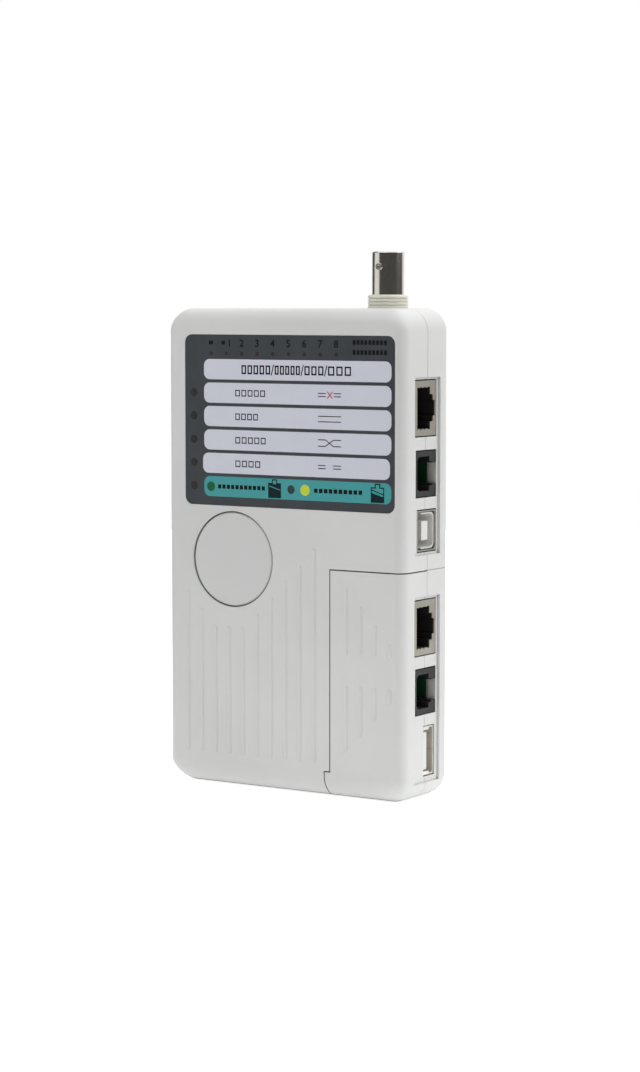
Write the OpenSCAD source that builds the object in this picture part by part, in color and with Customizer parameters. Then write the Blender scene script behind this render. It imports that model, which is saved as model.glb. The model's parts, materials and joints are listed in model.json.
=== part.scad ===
// Hand-held network cable tester with a detachable remote unit.
// Upright: +Z runs up the long side, the front face looks along -Y, the ports look along +X.
// The origin is the middle of the bottom face that the tester stands on.

/* [Body] */
// Width across the front
body_w = 84.8; // [84:0.2:88]
// Depth from the front face to the rear face
body_d = 26.8; // [26.8:0.2:29]
// Height of the housing without the coaxial connector
body_h = 145.4; // [145:0.2:150]
// Wall thickness of the housings
wall = 2; // [1.8:0.1:2.2]
// Radius of the outline's corners, seen from the front
corner_r = 7; // [6:0.5:9]
// Edge radius where the front meets the sides
side_edge_r = 3.4; // [2.5:0.1:4]
// Edge radius where the front meets the top
top_edge_r = 5; // [3.5:0.5:6]
// Edge radius where the front meets the bottom
bottom_edge_r = 7.2; // [5:0.2:8]
// Edge radius around the rear face
rear_edge_r = 3.6; // [2.5:0.1:4]

/* [Remote unit] */
// Seam between the main unit and the remote, from the centre line
remote_x = 16.8; // [16:0.1:17.5]
// Height of the remote's top face
remote_top = 68.6; // [67:0.1:69]
// Width that the remote's foot reaches under the main unit
foot_reach = 2; // [1.5:0.1:2.5]
// Height of the foot
foot_h = 8.2; // [7:0.1:9]
// Gap along the seam
seam_gap = 0.35; // [0.25:0.05:0.5]
// Height of the T-shaped rail that carries the remote
rail_len = 48; // [30:1:50]

/* [Front] */
// Radius of the hole for the test button
button_hole_r = 14.55; // [13:0.05:15]
// Running gap round the test button
button_gap = 0.35; // [0.25:0.05:0.4]
// Distance that the test button travels
button_travel = 0.8; // [0.4:0.1:0.9]
// Width of a grip rib
rib_w = 1.5; // [1.3:0.1:2]
// Height of a grip rib above the front face
rib_h = 0.4; // [0.2:0.05:0.5]
// Thickness of the printed label panel
label_t = 0.25; // [0.2:0.05:0.3]

/* [Ports] */
// Depth of the pocket around each row of ports
pocket_depth = 0.8; // [0.5:0.1:1]
// Gap between a port and its cut-out in the housing
port_gap = 0.2; // [0.15:0.05:0.3]
// Front surface of the circuit boards that carry the ports
board_y = 6.2; // [6:0.1:6.6]
// Thickness of the circuit boards that carry the ports
board_t = 1.6; // [1.2:0.1:1.6]

/* [Coaxial connector] */
// Distance of the connector's axis from the centre line
coax_x = 28.5; // [27.5:0.1:29]
// Front-to-back place of the connector's axis
coax_y = 0.4; // [0:0.1:0.6]
// Outer radius of the bayonet barrel
coax_barrel_r = 4.8; // [4.7:0.05:4.85]
// Height of the barrel's rim above the housing
coax_rim = 16.6; // [15:0.1:18]
// Outer radius of the threaded plastic collar
collar_r = 6; // [5.8:0.1:6.2]
// Height of the collar above the housing
collar_h = 4; // [3.6:0.1:4.4]

/* [Battery] */
// Width of the 9 V block battery
battery_w = 26.5; // [26:0.1:26.5]
// Thickness of the battery
battery_t = 17.5; // [17:0.1:17.5]
// Height of the battery without its terminals
battery_h = 46.4; // [45.5:0.1:46.4]

/* [Hidden] */
$fn = 48;

BIG = 400;
EPS = 0.01;

// faces of the housing
side_x = body_w / 2;
front_y = -body_d / 2;
rear_y = body_d / 2;
inner_front_y = front_y + wall;
inner_rear_y = rear_y - wall;
inner_side_x = side_x - wall;
inner_top_z = body_h - wall;
floor_z = wall + 1.4;
foot_x = remote_x - foot_reach;

// tongue and groove where the half shells meet, and the hairline that stays open between them
seam_line = 0.12;
tongue_w = 0.9;
tongue_h = 1.2;
tongue_gap = 0.1;

// how finely the rounded skin is divided
corner_steps = 10;
front_steps = 12;
rear_steps = 8;

// label panel and its printed rows
label_left = -35.4;
label_right = 39.4;
label_bottom = 85.9;
label_top = 137.5;
label_r = 2.5;
label_recess = label_t + 0.1;
row_top = 130.1;
row_pitch = 7.08;
row_h = 6.1;

// lamps behind the label
pin_led_x = -25.8;
pin_led_pitch = 5.61;
pin_led_z = 131.8;
pin_led_count = 9;
status_led_x = -32.2;
status_led_count = 5;
battery_led_x = [3.2, 8.2];
led_r = 1.1;
led_flange_r = 1.3;
led_flange_h = 0.6;
led_hole_r = 1.25;
led_row_z = [for (i = [0:status_led_count - 1]) row_top - (i + 1) * row_pitch - row_h / 2];

// test button
button_x = -18.1;
button_z = 69.8;
button_r = button_hole_r - button_gap;
button_plate_t = 1.6;
button_flange_r = button_r + 1.2;
button_flange_y = inner_front_y + 0.12;
button_flange_t = 0.9;
button_chamfer = 0.35;
button_drop = 0.35;
hole_chamfer = 0.3;

// display board with the lamps and the switch
display_t = 1.2;
display_y = inner_front_y + 3.3;
display_back_y = display_y + display_t;
display_left = -38;
display_right = 34.2;
display_bottom = 65.6;
display_top = 141;
display_step_x = 13.5;
switch_w = 6.2;
switch_h = 1.9;
plunger_r = 1.6;
plunger_out = 1.1;
plunger_in = 0.7;
switch_top_y = display_y - switch_h;
plunger_tip_y = switch_top_y - plunger_out;

// grip ribs on the main unit
rib_count = 10;
rib_x0 = -34.7;
rib_pitch = 5.1;
rib_foot_z = 9.9;
rib_low_z = 49.6;
rib_r = (rib_w * rib_w / 4 + rib_h * rib_h) / (2 * rib_h);
rib_end = 0.8;
// grip ribs on the remote
remote_rib_count = 4;
remote_rib_x0 = 22.6;
remote_rib_pitch = 5;
remote_rib_slope = 5.2;

// rows of ports
port_face_x = side_x - pocket_depth;
pocket_front_y = -6.9;
pocket_rear_y = 7.4;
// gap above and below each port
port_end_gap = 0.35;
main_pocket_z = [73.1, 125.3];
remote_pocket_z = [5.4, 60.8];
main_rj45_z = 116.25;
main_rj11_z = 97;
usb_b_z = 80.2;
remote_rj45_z = 51.6;
remote_rj11_z = 32.6;
usb_a_z = 14.6;

// sizes of the ports: depth into the housing, height over the board, width along the board
rj45_size = [15.5, 13.1, 16.2];
rj11_size = [13.2, 11.3, 13.3];
usb_b_size = [15.8, 10.6, 12];
usb_a_size = [13.2, 6, 14.5];
// how far the flat USB port stands off its board and behind the pocket's floor
usb_a_foot = 0.5;
usb_a_recess = 0.4;
shield_t = 0.35;
// mouth of the network jack: width, height, and how far it starts behind the jack's front
rj45_mouth_w = 12.5;
rj45_mouth_h = 7.3;
rj45_band = 2.4;
usb_shell_t = 0.4;
// the two sides of each USB tongue
usb_b_tongue = [-7.4, -3.9];
usb_a_tongue = [-5.45, -3.6];

// main board
main_board_left = -14;
main_board_right = 38.6;
main_board_bottom = 73;
main_board_top = 141.6;
board_back_y = board_y + board_t;
// remote board
remote_board_left = 24.6;
remote_board_right = 38.6;
remote_board_bottom = 6.4;
remote_board_top = 59.9;

// pin header between the two boards of the main unit
header_at = [-11.5, 108];
header_rows = 2;
header_pins_per_row = 8;
header_pitch = 2.54;
header_pin = 0.64;
plug_base = 2.5;

// T-shaped rail on the main unit and its groove in the remote
rail_z = 14;
rail_neck = 2.4;
rail_head = 4.6;
rail_neck_x = 2.2;
rail_head_x = 4.2;
rail_gap = 0.25;
groove_wall = 1.6;

// battery compartment
bay_x = -12.5;
bay_wall = 1.3;
bay_w = battery_w + 1;
bay_left = bay_x - bay_w / 2;
bay_right = bay_x + bay_w / 2;
bay_front_y = -7.1;
bay_bottom_z = 4.8;
bay_top_z = 63;
battery_z = 5.2;
battery_y = bay_front_y + 0.2 + battery_t / 2;
door_overlap = 1.6;
door_left = bay_left - door_overlap;
door_right = bay_right + door_overlap;
door_top = bay_top_z + 1.2;
door_gap = 0.25;
door_rail = 1.2;
door_rail_y = inner_rear_y + 0.35;
door_rail_t = 0.8;
post_r = 2.9;
post_dx = 6.35;
post_h = 2.1;
battery_top_z = battery_z + battery_h;
// the battery's leads
lead_r = 0.6;
lead_sides = 8;
lead_steps = 16;
lead_end_x = main_board_left + 2.4;
clip_top_z = battery_top_z + post_h + 2.65;

// screws
screw_r = 1.25;
pilot_r = 1.3;
boss_r = 2.6;
rear_boss_r = 3.6;
clearance_r = 1.6;
screw_head_r = 2.6;
screw_head_h = 1.7;
head_seat_y = 3;
head_hole_r = 2.8;
screw_len = 11;
main_screw_at = [[-36.9, 136.8], [37.4, 131.2], [-36.2, 11.2], [9.2, 11.4]];
remote_screw_at = [[33, 63.4], [24.2, 6.4]];
board_screw_at = [[-9.6, 137.2], [17.5, 137.2], [-9.6, 77.4], [20.4, 77.4]];
board_boss_r = 2.4;
board_screw_r = 1;
board_head_r = 2;
board_head_h = 0.7;
board_screw_len = 5.6;
display_screw_at = [[-24, 138], [20, 138], [-34.6, 82], [20, 76]];
display_screw_len = 4.2;

// coaxial connector
collar_chamfer = 0.4;
thread_pitch = 1;
thread_depth = 0.35;
thread_count = 3;
coax_block = [10.4, 12.4, 14];
coax_rim_z = body_h + coax_rim;
coax_inner_r = 4.06;
coax_floor_z = coax_rim_z - 10.4;
lug_r = 0.97;
lug_reach = 5.5;
lug_dimple_r = 0.5;
lug_drop = 4.4;
dielectric_r = 2.4;
contact_r = 1.05;
contact_bore_r = 0.66;

// ---------------------------------------------------------------- helpers

// an outline in X and Z, pushed along Y
module along_y(from, to) {
    translate([0, to, 0]) rotate([90, 0, 0]) linear_extrude(to - from) children();
}

// an outline in Y and Z, pushed along X
module along_x(from, to) {
    translate([from, 0, 0]) rotate([90, 0, 90]) linear_extrude(to - from) children();
}

// a round bar along Y
module rod_y(r, from, to) {
    translate([0, to, 0]) rotate([90, 0, 0]) cylinder(r = r, h = to - from);
}

// a box given by its low and high corners
module block(low, high) {
    translate(low) cube(high - low);
}

// a rectangle with rounded corners, given by its low and high corners
module rounded_rect(low, high, r) {
    translate([low[0] + r, low[1]]) square([high[0] - low[0] - 2 * r, high[1] - low[1]]);
    translate([low[0], low[1] + r]) square([high[0] - low[0], high[1] - low[1] - 2 * r]);
    for (x = [low[0] + r, high[0] - r], z = [low[1] + r, high[1] - r])
        translate([x, z]) circle(r);
}

// how far an edge of radius r draws the outline in, at depth t behind the face
function inset(t, r) = t >= r ? 0 : r - sqrt(r * r - (r - t) * (r - t));

// one corner of the outline, from angle a onwards
function corner(cx, cz, rx, rz, a) = [
    for (i = [0:corner_steps]) let (b = a + 90 * i / corner_steps)
        [cx + rx * cos(b), cz + rz * sin(b)]
];

// the outline where the sides, the top and the bottom are drawn in by three amounts
function outline(side, top, bottom) = let (
    x = side_x - side,
    rx = max(corner_r - side, 1.5),
    rt = max(corner_r - top, 1.5),
    rb = max(corner_r - bottom, 1.5)
) concat(
    corner(x - rx, body_h - top - rt, rx, rt, 0),
    corner(-x + rx, body_h - top - rt, rx, rt, 90),
    corner(-x + rx, bottom + rb, rx, rb, 180),
    corner(x - rx, bottom + rb, rx, rb, 270)
);

function front_ring(t) =
    [for (p = outline(inset(t, side_edge_r), inset(t, top_edge_r), inset(t, bottom_edge_r)))
        [p[0], front_y + t, p[1]]];

function rear_ring(t) = let (e = inset(t, rear_edge_r))
    [for (p = outline(e, e, e)) [p[0], rear_y - t, p[1]]];

// the skin of the whole tester: rings from the front face to the rear face
skin_rings = concat(
    [for (i = [0:front_steps]) front_ring(bottom_edge_r * (1 - cos(90 * i / front_steps)))],
    [for (i = [rear_steps:-1:0]) rear_ring(rear_edge_r * (1 - cos(90 * i / rear_steps)))]
);
ring_size = 4 * (corner_steps + 1);
ring_count = front_steps + rear_steps + 2;

module skin() {
    polyhedron(
        points = [for (ring = skin_rings, p = ring) p],
        faces = concat(
            [[for (i = [ring_size - 1:-1:0]) i]],
            [for (k = [0:ring_count - 2], i = [0:ring_size - 1]) let (j = (i + 1) % ring_size)
                [k * ring_size + i, k * ring_size + j, (k + 1) * ring_size + i]],
            [for (k = [0:ring_count - 2], i = [0:ring_size - 1]) let (j = (i + 1) % ring_size)
                [k * ring_size + j, (k + 1) * ring_size + j, (k + 1) * ring_size + i]],
            [[for (i = [0:ring_size - 1]) (ring_count - 1) * ring_size + i]]
        )
    );
}

module front_half() block([-BIG, -BIG, -BIG], [BIG, 0, BIG]);
module rear_half() block([-BIG, seam_line, -BIG], [BIG, BIG, BIG]);

// ---------------------------------------------------------------- housings

// the corner of the tester that belongs to the remote
module remote_zone(gap, top_gap) {
    block([remote_x + gap, -BIG, -BIG], [BIG, BIG, remote_top - top_gap]);
    block([foot_x + gap, -BIG, -BIG], [BIG, BIG, foot_h - gap]);
}

// inside outline of the whole tester, grown for the tongue and groove
module inner_outline(grow) {
    rounded_rect(
        [-inner_side_x - grow, floor_z - grow],
        [inner_side_x + grow, inner_top_z + grow],
        corner_r - wall + grow
    );
}

module main_inner_outline(grow = 0) {
    difference() {
        inner_outline(grow);
        translate([remote_x - wall + grow, -BIG])
            square([BIG, BIG + remote_top + wall - grow]);
        translate([foot_x - wall + grow, -BIG]) square([BIG, BIG + foot_h + wall - grow]);
    }
}

module remote_inner_outline(grow = 0) {
    intersection() {
        inner_outline(grow);
        translate([remote_x + seam_gap + wall - grow, 0])
            square([BIG, remote_top - seam_gap - wall + grow]);
    }
}

module port_opening(z, size, foot = 0) {
    block(
        [port_face_x - 4, board_y - foot - size[1] - port_gap, z - size[2] / 2 - port_end_gap],
        [BIG, board_y - foot + port_gap, z + size[2] / 2 + port_end_gap]
    );
}

// a ledge inside the side wall, next to the board's edge
module board_ledge(right, z0, z1) {
    block([right + 0.3, board_y + port_gap, z0], [inner_side_x + EPS, board_back_y + 1, z1]);
}

module pocket(z) block([port_face_x, pocket_front_y, z[0]], [BIG, pocket_rear_y, z[1]]);

module main_port_cuts() {
    pocket(main_pocket_z);
    port_opening(main_rj45_z, rj45_size);
    port_opening(main_rj11_z, rj11_size);
    port_opening(usb_b_z, usb_b_size);
    translate([coax_x, coax_y, body_h - 6]) cylinder(r = collar_r + 0.15, h = 20);
}

module remote_port_cuts() {
    pocket(remote_pocket_z);
    port_opening(remote_rj45_z, rj45_size);
    port_opening(remote_rj11_z, rj11_size);
    port_opening(usb_a_z, usb_a_size, usb_a_foot);
}

// the rail that the remote slides on, T-shaped seen from above
module rail() {
    block([remote_x - 1, -rail_neck, rail_z], [remote_x + rail_head_x, rail_neck, rail_z + rail_len]);
    block(
        [remote_x + rail_neck_x, -rail_head, rail_z],
        [remote_x + rail_head_x, rail_head, rail_z + rail_len]
    );
}

module rail_groove() {
    block(
        [remote_x, -rail_neck - rail_gap, rail_z - 1],
        [remote_x + rail_head_x, rail_neck + rail_gap, remote_top + 1]
    );
    block(
        [remote_x + rail_neck_x - rail_gap, -rail_head - rail_gap, rail_z - 1],
        [remote_x + rail_head_x + rail_gap, rail_head + rail_gap, remote_top + 1]
    );
}

module rail_housing() {
    block(
        [remote_x + seam_gap, -rail_head - rail_gap - groove_wall, rail_z - 1 - groove_wall],
        [remote_x + rail_head_x + rail_gap + groove_wall, rail_head + rail_gap + groove_wall,
            remote_top - 1]
    );
}

// a low rounded rib that runs down into the front face at both ends
module rib(x, low, high) {
    end_r = rib_r - rib_h - 0.05;
    intersection() {
        translate([x, front_y - rib_h + rib_r, low]) {
            cylinder(r1 = end_r, r2 = rib_r, h = rib_end);
            translate([0, 0, rib_end]) cylinder(r = rib_r, h = high - low - 2 * rib_end);
            translate([0, 0, high - low - rib_end]) cylinder(r1 = rib_r, r2 = end_r, h = rib_end);
        }
        block([-BIG, -BIG, -BIG], [BIG, front_y + wall / 2, BIG]);
    }
}

function rib_top(x) = max(rib_low_z, x + 63.5, -x + 25.1);

module front_posts(at, r) {
    for (p = at) translate([p[0], 0, p[1]]) rod_y(r, inner_front_y - EPS, -0.05);
}

module pilot_holes(at) {
    for (p = at) translate([p[0], 0, p[1]]) rod_y(pilot_r, head_seat_y - screw_len - 0.5, 1);
}

module rear_posts(at, r) {
    for (p = at) translate([p[0], 0, p[1]]) rod_y(r, 0, inner_rear_y + EPS);
}

module head_holes(at) {
    for (p = at) translate([p[0], 0, p[1]]) {
        rod_y(clearance_r, -1, head_seat_y + 1);
        rod_y(head_hole_r, head_seat_y, BIG);
    }
}

module front_shell() {
    color("gainsboro") intersection() {
        front_half();
        difference() {
            union() {
                difference() {
                    skin();
                    remote_zone(0, 0);
                    along_y(inner_front_y, BIG) main_inner_outline();
                    along_y(-tongue_h - tongue_gap, 1) difference() {
                        main_inner_outline(tongue_w + tongue_gap);
                        main_inner_outline();
                    }
                }
                front_posts(main_screw_at, boss_r);
                for (p = display_screw_at) translate([p[0], 0, p[1]])
                    rod_y(board_boss_r, inner_front_y - EPS, display_y);
                rail();
                for (i = [0:rib_count - 1]) let (x = rib_x0 + i * rib_pitch)
                    rib(x, rib_foot_z, rib_top(x));
            }
            pilot_holes(main_screw_at);
            for (p = display_screw_at) translate([p[0], 0, p[1]])
                rod_y(board_screw_r + 0.05, display_back_y - display_screw_len - 0.2, 0);
            main_port_cuts();
            along_y(-BIG, front_y + label_recess)
                rounded_rect([label_left, label_bottom], [label_right, label_top], label_r);
            translate([button_x, 0, button_z]) {
                rod_y(button_hole_r, -BIG, 0);
                translate([0, front_y - EPS, 0]) rotate([-90, 0, 0])
                    cylinder(r1 = button_hole_r + hole_chamfer, r2 = button_hole_r, h = hole_chamfer);
            }
            led_places() rod_y(led_hole_r, -BIG, inner_front_y + 1);
        }
    }
}

// the battery bay's walls, a box that is open to the rear
module bay() {
    difference() {
        block(
            [bay_left - bay_wall, bay_front_y - bay_wall, bay_bottom_z - bay_wall],
            [bay_right + bay_wall, inner_rear_y + EPS, bay_top_z + bay_wall]
        );
        block([bay_left, bay_front_y, bay_bottom_z], [bay_right, BIG, bay_top_z]);
        // way out for the battery leads
        block([bay_x - 9, 2.2, bay_top_z - 1], [bay_x - 3, 9, bay_top_z + 3]);
    }
}

// the opening that the door fills, with the grooves that its edges slide in
module door_zone(gap) {
    block([door_left - gap, inner_rear_y - EPS, -BIG], [door_right + gap, BIG, door_top + gap]);
    block(
        [door_left - door_rail - gap, door_rail_y - gap, -BIG],
        [door_right + door_rail + gap, door_rail_y + door_rail_t + gap, door_top - 4 + gap]
    );
}

module rear_shell() {
    color("gainsboro") difference() {
        union() {
            intersection() {
                rear_half();
                difference() {
                    skin();
                    remote_zone(0, 0);
                    along_y(-BIG, inner_rear_y) main_inner_outline();
                }
            }
            along_y(-tongue_h, seam_line + EPS) difference() {
                main_inner_outline(tongue_w);
                main_inner_outline();
            }
            intersection() {
                rear_half();
                rail();
            }
            rear_posts(main_screw_at, rear_boss_r);
            for (p = board_screw_at) translate([p[0], 0, p[1]])
                rod_y(board_boss_r, board_back_y, inner_rear_y + EPS);
            bay();
            board_ledge(main_board_right, main_pocket_z[0] + 1, main_pocket_z[1] - 0.4);
        }
        head_holes(main_screw_at);
        main_port_cuts();
        for (p = board_screw_at) translate([p[0], 0, p[1]])
            rod_y(board_screw_r + 0.05, board_y, board_y + board_screw_len + 0.2);
        door_zone(0);
        block(
            [bay_left, bay_front_y + 1, bay_bottom_z],
            [bay_right, inner_rear_y + 1, bay_top_z]
        );
    }
}

module battery_door() {
    grip_z = 14;
    color("gainsboro") {
        intersection() {
            skin();
            union() {
                block(
                    [door_left + door_gap, inner_rear_y + 0.1, -BIG],
                    [door_right - door_gap, BIG, door_top - door_gap]
                );
                block(
                    [door_left - door_rail + door_gap, door_rail_y + 0.1, 4],
                    [door_right + door_rail - door_gap, door_rail_y + door_rail_t - 0.1,
                        door_top - 4 - door_gap]
                );
            }
        }
        for (i = [0:4]) translate([bay_x, 0, grip_z + i * 2.4])
            along_y(rear_y - 0.4, rear_y + rib_h) rounded_rect([-6, -0.5], [6, 0.5], 0.49);
    }
}

module remote_front_shell() {
    color("gainsboro") intersection() {
        front_half();
        difference() {
            union() {
                difference() {
                    intersection() {
                        skin();
                        remote_zone(seam_gap, seam_gap);
                    }
                    difference() {
                        along_y(inner_front_y, BIG) remote_inner_outline();
                        rail_housing();
                    }
                    along_y(-tongue_h - tongue_gap, 1) difference() {
                        remote_inner_outline(tongue_w + tongue_gap);
                        remote_inner_outline();
                    }
                }
                front_posts(remote_screw_at, boss_r);
                for (i = [0:remote_rib_count - 1]) let (x = remote_rib_x0 + i * remote_rib_pitch) {
                    rib(x, 43.1, 63.7 - i * remote_rib_slope);
                    rib(x, 14.4 + i * remote_rib_pitch, 34.6);
                }
            }
            pilot_holes(remote_screw_at);
            remote_port_cuts();
            rail_groove();
        }
    }
}

module remote_rear_shell() {
    color("gainsboro") difference() {
        union() {
            intersection() {
                rear_half();
                difference() {
                    intersection() {
                        skin();
                        remote_zone(seam_gap, 0.12);
                    }
                    difference() {
                        along_y(-BIG, inner_rear_y) remote_inner_outline();
                        rail_housing();
                    }
                }
            }
            difference() {
                along_y(-tongue_h, seam_line + EPS) difference() {
                    remote_inner_outline(tongue_w);
                    remote_inner_outline();
                }
                rail_housing();
            }
            rear_posts(remote_screw_at, rear_boss_r);
            board_ledge(remote_board_right, remote_pocket_z[0] + 1, remote_pocket_z[1] - 1.4);
        }
        head_holes(remote_screw_at);
        remote_port_cuts();
        rail_groove();
    }
}

// ---------------------------------------------------------------- front parts

module label_panel() {
    color("dimgray") difference() {
        along_y(front_y + 0.05, front_y + 0.05 + label_t) rounded_rect(
            [label_left + 0.1, label_bottom + 0.1],
            [label_right - 0.1, label_top - 0.1],
            label_r - 0.1
        );
        // windows over the lamps
        led_places() rod_y(0.55, -BIG, 0);
    }
}

// a disc with a hollow back, a flange behind the housing wall, and ribs and a post over the switch
module test_button() {
    face_y = front_y + button_drop;
    hollow_y = face_y + button_plate_t;
    post_y = plunger_tip_y - 0.04;
    color("gainsboro") translate([button_x, 0, button_z]) difference() {
        union() {
            translate([0, face_y, 0]) rotate([-90, 0, 0])
                cylinder(r1 = button_r - button_chamfer, r2 = button_r, h = button_chamfer);
            rod_y(button_r, face_y + button_chamfer, button_flange_y + 0.5);
            rod_y(button_flange_r, button_flange_y, button_flange_y + button_flange_t);
        }
        difference() {
            rod_y(button_r - 1.3, hollow_y, 0);
            rod_y(2.6, face_y, post_y);
            for (a = [0:45:135]) rotate([0, a, 0])
                block([-button_r, face_y, -0.5], [button_r, post_y, 0.5]);
        }
    }
}

module led_places() {
    for (i = [0:pin_led_count - 1])
        translate([pin_led_x + i * pin_led_pitch, 0, pin_led_z]) children();
    for (z = led_row_z) translate([status_led_x, 0, z]) children();
    for (x = battery_led_x) translate([x, 0, led_row_z[status_led_count - 1]]) children();
}

module led() {
    rod_y(led_r, inner_front_y - 0.4, display_y);
    rod_y(led_flange_r, display_y - led_flange_h, display_y);
}

module pin_leds() {
    color("firebrick") for (i = [0:pin_led_count - 1])
        translate([pin_led_x + i * pin_led_pitch, 0, pin_led_z]) led();
}

module status_leds() {
    color("firebrick") for (z = led_row_z) translate([status_led_x, 0, z]) led();
}

module battery_leds() {
    color("limegreen") for (x = battery_led_x)
        translate([x, 0, led_row_z[status_led_count - 1]]) led();
}

module display_board() {
    color("darkgreen") difference() {
        along_y(display_y, display_back_y) polygon([
            [display_left, display_bottom], [display_step_x, display_bottom],
            [display_step_x, 72], [display_right, 72], [display_right, display_top],
            [-33, display_top], [-33, 132], [display_left, 132]
        ]);
        board_holes(display_screw_at);
    }
}

module switch_body() {
    color("black") translate([button_x, 0, button_z]) difference() {
        block([-switch_w / 2, switch_top_y, -switch_w / 2], [switch_w / 2, display_y, switch_w / 2]);
        rod_y(plunger_r + 0.08, -BIG, display_y - 0.25);
    }
}

module switch_plunger() {
    color("whitesmoke") translate([button_x, 0, button_z])
        rod_y(plunger_r, plunger_tip_y, switch_top_y + plunger_in);
}

// ---------------------------------------------------------------- boards

module board_holes(at) {
    for (p = at) translate([p[0], 0, p[1]]) rod_y(board_screw_r + 0.2, -BIG, BIG);
}

module main_board() {
    color("darkgreen") difference() {
        along_y(board_y, board_back_y) polygon([
            [main_board_left, main_board_bottom], [main_board_right, main_board_bottom],
            [main_board_right, 126.2], [33, 126.2], [33, main_board_top],
            [main_board_left, main_board_top]
        ]);
        board_holes(board_screw_at);
    }
}

module header_grid() {
    for (i = [0:header_rows - 1], j = [0:header_pins_per_row - 1])
        translate([header_at[0] + i * header_pitch, 0, header_at[1] + j * header_pitch]) children();
}

module header_block(from, to) {
    translate([header_at[0], 0, header_at[1]]) block(
        [-header_pitch / 2, from, -header_pitch / 2],
        [header_pitch * (header_rows - 0.5), to, header_pitch * (header_pins_per_row - 0.5)]
    );
}

module header_pins() {
    color("gold") header_grid()
        block(
            [-header_pin / 2, display_back_y + 2, -header_pin / 2],
            [header_pin / 2, board_y, header_pin / 2]
        );
}

module header_plug() {
    color("black") difference() {
        header_block(board_y - plug_base, board_y);
        header_pins();
    }
}

module header_socket() {
    color("black") difference() {
        header_block(display_back_y, board_y - plug_base);
        header_grid() block(
            [-header_pin / 2 - 0.06, display_back_y + 1.5, -header_pin / 2 - 0.06],
            [header_pin / 2 + 0.06, board_y, header_pin / 2 + 0.06]
        );
    }
}

// the logic chip in its two-row package, with its legs
module control_chip() {
    chip_z = 92;
    legs = 9;
    color("black") block([2, board_y - 4.2, chip_z], [8.4, board_y - 0.6, chip_z + legs * 2.54]);
    color("silver") for (i = [0:legs - 1], s = [0, 1]) {
        x = s == 0 ? 1.3 : 8.4;
        z = chip_z + 1.27 + i * 2.54;
        block([x, board_y - 2.6, z - 0.25], [x + 0.7, board_y, z + 0.25]);
    }
}

module board_screws() {
    color("silver") for (p = board_screw_at) translate([p[0], 0, p[1]]) {
        rod_y(board_head_r, board_y - board_head_h, board_y);
        rod_y(board_screw_r, board_y - EPS, board_y + board_screw_len - 0.8);
    }
}

module display_screws() {
    color("silver") for (p = display_screw_at) translate([p[0], 0, p[1]]) {
        rod_y(board_head_r, display_back_y, display_back_y + board_head_h);
        rod_y(board_screw_r, display_back_y - display_screw_len, display_back_y + EPS);
    }
}

module screws(at) {
    for (p = at) translate([p[0], 0, p[1]]) difference() {
        union() {
            rod_y(screw_head_r, head_seat_y, head_seat_y + screw_head_h);
            rod_y(screw_r, head_seat_y - screw_len, head_seat_y + EPS);
        }
        // cross recess
        for (a = [0, 90]) rotate([0, a, 0])
            block([-1.3, head_seat_y + 0.8, -0.3], [1.3, BIG, 0.3]);
    }
}

module main_screws() color("silver") screws(main_screw_at);
module remote_screws() color("silver") screws(remote_screw_at);

module remote_board() {
    color("darkgreen") along_y(board_y, board_back_y) polygon([
        [remote_board_left + 3.6, remote_board_bottom], [remote_board_right, remote_board_bottom],
        [remote_board_right, remote_board_top - 1.6], [remote_board_left, remote_board_top - 1.6],
        [remote_board_left, remote_board_bottom + 5.5], [remote_board_left + 3.6, remote_board_bottom + 5.5]
    ]);
}

// ---------------------------------------------------------------- ports
// Each port is drawn with its face at X = 0 and its foot on the board at Y = 0.

module at_port(z) translate([port_face_x, board_y, z]) children();

// stepped outline of the opening: plug, shoulders and latch
module rj45_outline() {
    translate([-rj45_size[1] + rj45_band, -rj45_mouth_w / 2]) square([rj45_mouth_h, rj45_mouth_w]);
    translate([-3.6, -4]) square([1.75, 8]);
    translate([-2, -2.3]) square([1.2, 4.6]);
}

module rj45_shield() {
    d = rj45_size[0];
    h = rj45_size[1];
    w = rj45_size[2];
    color("darkkhaki") difference() {
        block([-d, -h, -w / 2], [0, 0, w / 2]);
        block([-d - 1, -h + shield_t, -w / 2 + shield_t], [-shield_t, 1, w / 2 - shield_t]);
        along_x(-1, 1) rj45_outline();
    }
    // spring tabs bent inwards at both ends of the mouth, which touch the plug's own shield
    color("darkkhaki") for (s = [-1, 1], y = [-10.2, -8, -5.8]) {
        z = s * (rj45_mouth_w / 2 - 0.11);
        block([-3, y, z - 0.06], [-0.1, y + 1.2, z + 0.06]);
        block([-0.3, y, z - 0.12], [-0.1, y + 1.2, z + 0.12]);
    }
}

module rj45_insert() {
    d = rj45_size[0];
    h = rj45_size[1];
    w = rj45_size[2];
    color("black") difference() {
        block([-d, -h + shield_t, -w / 2 + shield_t], [-shield_t, 0, w / 2 - shield_t]);
        along_x(-12.6, 1) rj45_outline();
    }
}

// spring wires, a row along Z, that slope from the mouth to the back of the cavity
module spring_contacts(count, pitch, mouth, back, drop, y) {
    for (i = [0:count - 1]) translate([0, 0, (i - (count - 1) / 2) * pitch - 0.2])
        linear_extrude(0.4) polygon([
            [-mouth, y], [-mouth, y + 0.4], [-mouth - 0.6, y + 0.4],
            [-back, y + drop + 0.35], [-back, y + drop], [-mouth - 0.6, y]
        ]);
}

module rj45_contacts() color("gold") spring_contacts(8, 1.02, 1.2, 12.6, 4.2, -rj45_size[1] + rj45_band);

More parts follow.
